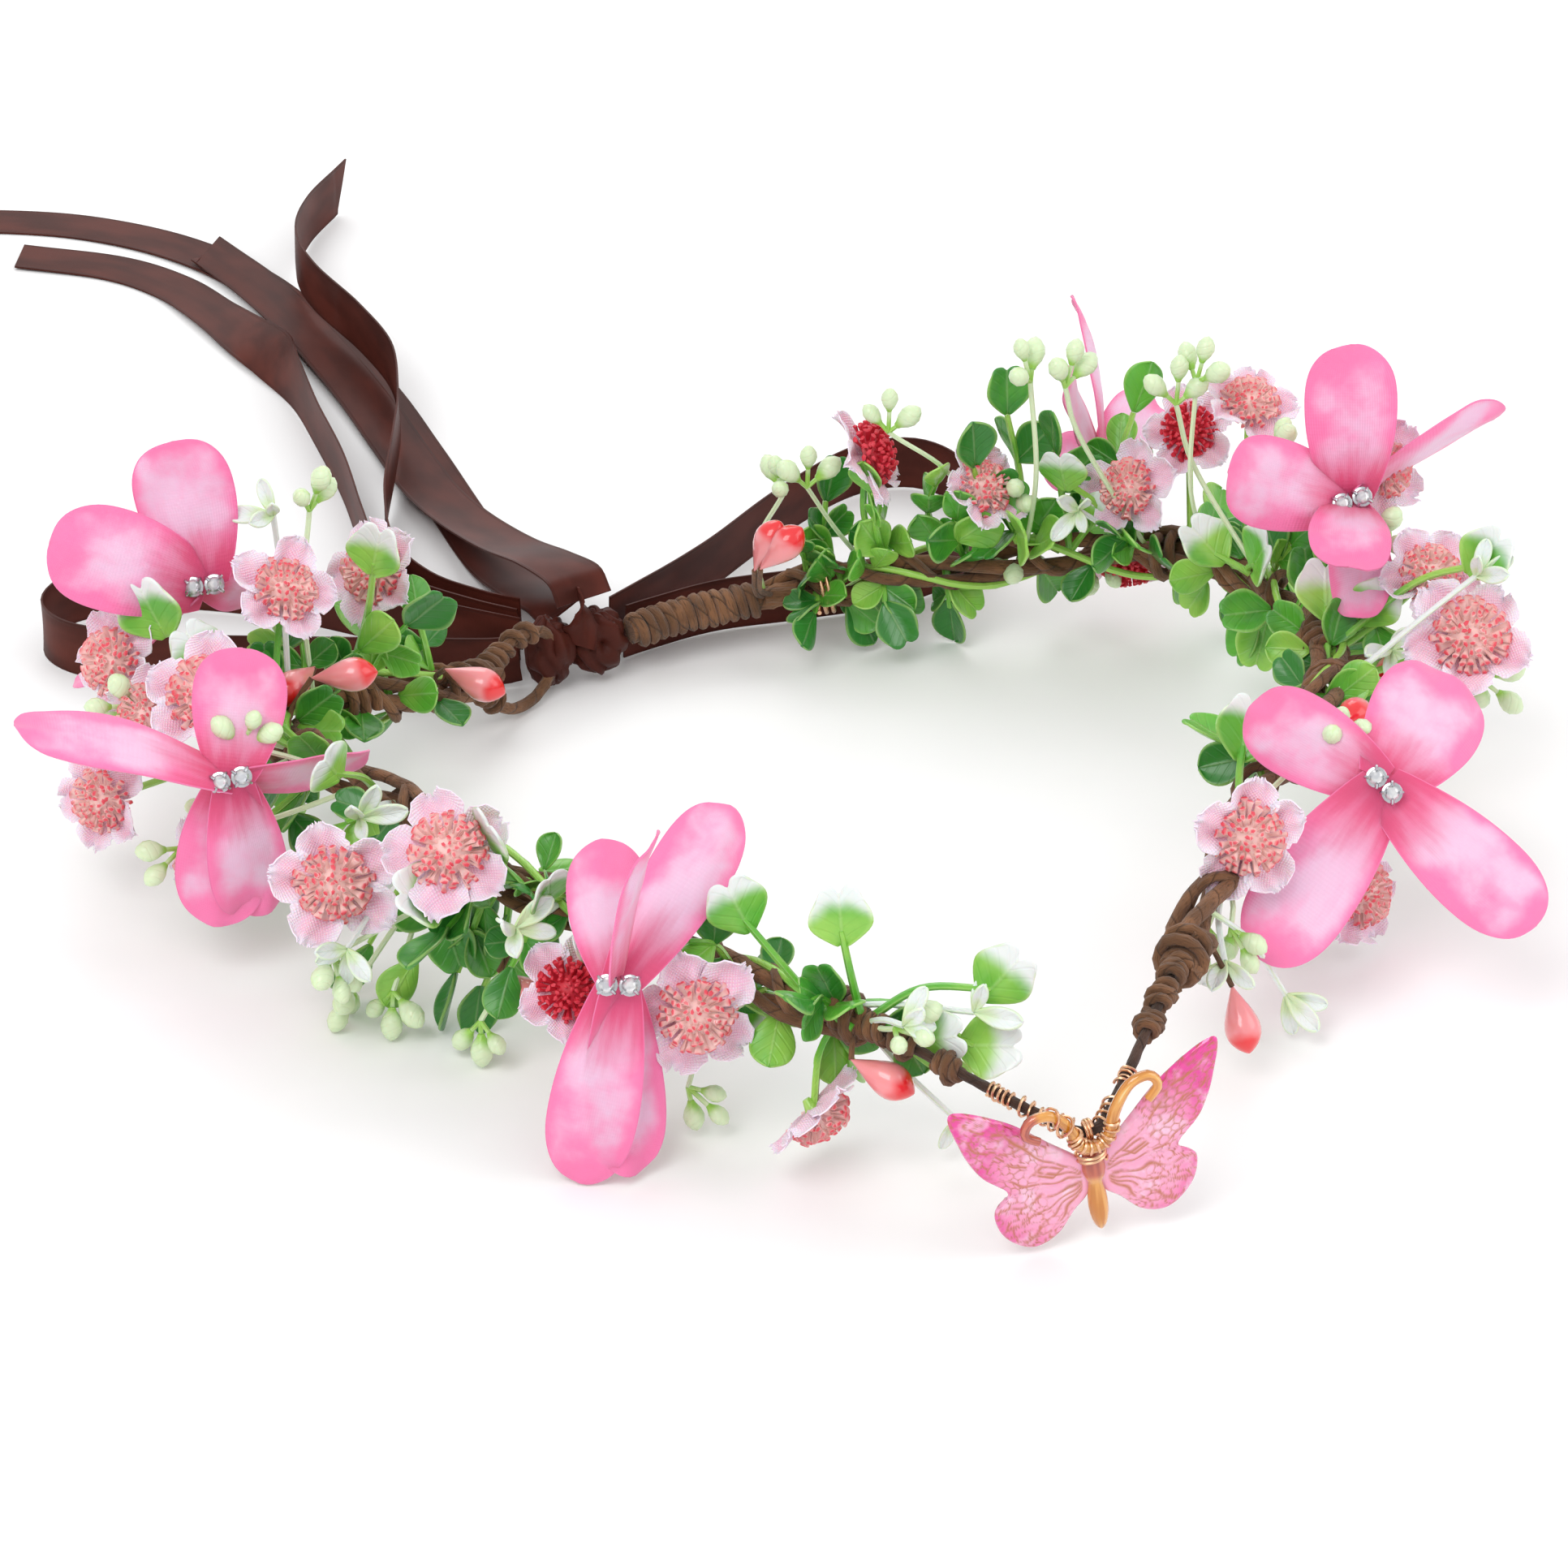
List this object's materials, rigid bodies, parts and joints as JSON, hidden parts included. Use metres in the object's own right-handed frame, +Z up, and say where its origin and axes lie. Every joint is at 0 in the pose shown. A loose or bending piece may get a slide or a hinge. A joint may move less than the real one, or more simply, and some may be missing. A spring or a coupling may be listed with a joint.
{
  "type": "flower crown",
  "caption": "Vine and wire hair crown with cloth blossoms, satin butterflies and leaf sprigs, a ribbon bow at the back and a hinged butterfly charm at the front.",
  "frame": {"origin": "middle of the base of the crown without its bow loops and ribbon tails, on the surface it lies on", "axes": "+Z up, -Y towards the charm at the front, +Y towards the ribbon bow at the back, +X to the right seen from the front"},
  "size_m": [0.2636, 0.4227, 0.0759],
  "materials": {
    "vine_paper": "dry crinkled paper wound on wire",
    "dark_wire": "paper-covered wire, satin",
    "copper_wire": "rose-gold plated, polished",
    "satin_ribbon": "single-faced satin",
    "wing_satin": "translucent printed satin",
    "crystal": "faceted, foil backed, in a plated cup",
    "blossom_cloth": "plain-woven cloth with frayed edges",
    "pip_gloss": "lacquered",
    "leaf_plastic": "soft moulded plastic, half gloss",
    "charm_resin": "clear-coated resin with foil lines",
    "amber_resin": "clear amber resin"
  },
  "bodies": {
    "crown": {"vine_left_outer": "vine_paper", "vine_left_inner": "vine_paper", "vine_right_outer": "vine_paper", "vine_right_inner": "vine_paper", "paper_wrap_front_left": "vine_paper", "paper_wrap_front_right": "vine_paper", "paper_wrap_left": "vine_paper", "paper_wrap_right": "vine_paper", "paper_wrap_left_end": "vine_paper", "handle_wrap": "vine_paper", "end_loop": "vine_paper", "front_wire": "dark_wire", "wire_binding_left": "copper_wire", "wire_binding_right": "copper_wire", "gold_ring_1": "copper_wire", "gold_ring_2": "copper_wire", "ribbon_knot_left": "satin_ribbon", "ribbon_knot_right": "satin_ribbon", "bow_left": "satin_ribbon", "bow_right": "satin_ribbon", "tail_wide": "satin_ribbon", "tail_under": "satin_ribbon", "tail_left": "satin_ribbon", "tail_curled": "satin_ribbon", "butterfly_a_wings": "wing_satin", "butterfly_b_wings": "wing_satin", "butterfly_c_wings": "wing_satin", "butterfly_d_wings": "wing_satin", "butterfly_e_wings": "wing_satin", "butterfly_f_wings": "wing_satin", "butterfly_a_stones": "crystal", "butterfly_b_stones": "crystal", "butterfly_c_stones": "crystal", "butterfly_d_stones": "crystal", "butterfly_e_stones": "crystal", "butterfly_f_stones": "crystal", "blossom_01": "blossom_cloth", "blossom_02": "blossom_cloth", "blossom_03": "blossom_cloth", "blossom_04": "blossom_cloth", "blossom_05": "blossom_cloth", "blossom_06": "blossom_cloth", "blossom_07": "blossom_cloth", "blossom_08": "blossom_cloth", "blossom_09": "blossom_cloth", "blossom_10": "blossom_cloth", "blossom_11": "blossom_cloth", "blossom_12": "blossom_cloth", "pip_left": "pip_gloss", "pip_right": "pip_gloss", "sprig_back_left": "leaf_plastic", "sprig_left": "leaf_plastic", "sprig_front": "leaf_plastic", "sprig_right": "leaf_plastic", "sprig_back_right": "leaf_plastic"},
    "charm": {"charm_wing_left": "charm_resin", "charm_wing_right": "charm_resin", "charm_body": "amber_resin", "charm_antennae": "amber_resin", "charm_ring": "copper_wire"}
  },
  "joints": [
    {"name": "charm_swing", "type": "hinge", "parent": "crown", "child": "charm", "pos_m": [0.0058, -0.1056, 0.0203], "axis": [1, 0, 0], "range_deg": [-30, 35]}
  ]
}
